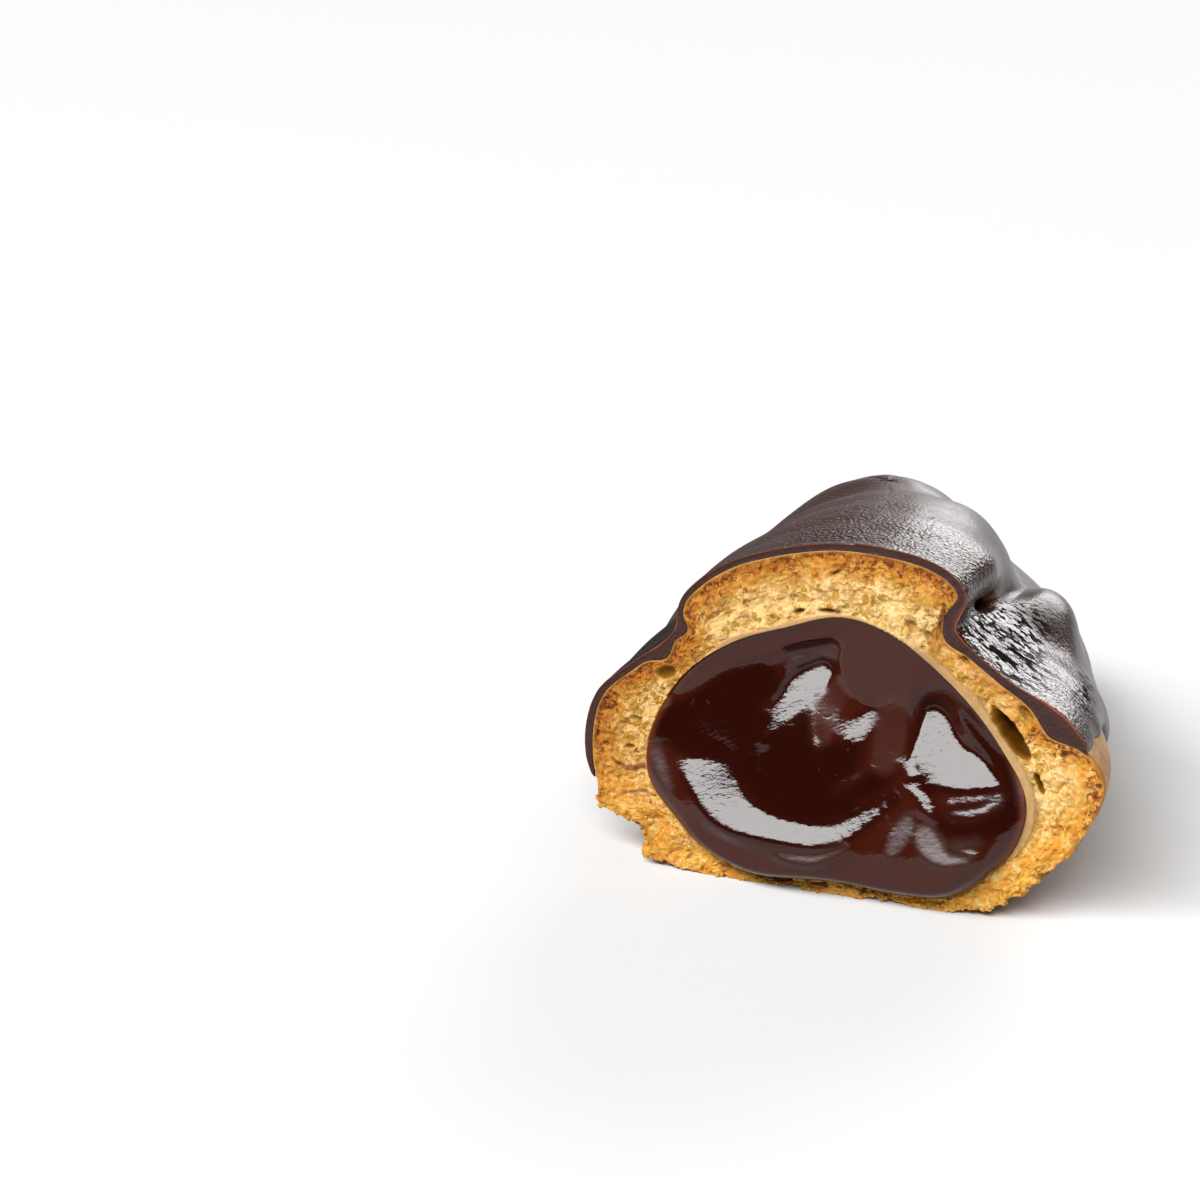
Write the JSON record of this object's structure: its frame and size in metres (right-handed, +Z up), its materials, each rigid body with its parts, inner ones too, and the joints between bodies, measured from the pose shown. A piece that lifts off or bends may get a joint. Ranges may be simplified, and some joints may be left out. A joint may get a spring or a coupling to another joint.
{
  "type": "chocolate eclair",
  "caption": "Half of a chocolate eclair cut across: domed choux shell on a flat floor, chocolate filling swelling from the cut, dripping chocolate glaze",
  "frame": {"origin": "under the middle of the bounding box, at the height of the flat floor the half lies on", "axes": "+X across the half, +Y from the cut to the round end, +Z up from the floor to the glaze"},
  "size_m": [0.0594, 0.0662, 0.0374],
  "materials": {
    "choux": "matte",
    "filling": "gloss",
    "glaze": "satin"
  },
  "bodies": {
    "root": {"choux": "choux", "filling": "filling", "glaze": "glaze"}
  },
  "joints": []
}
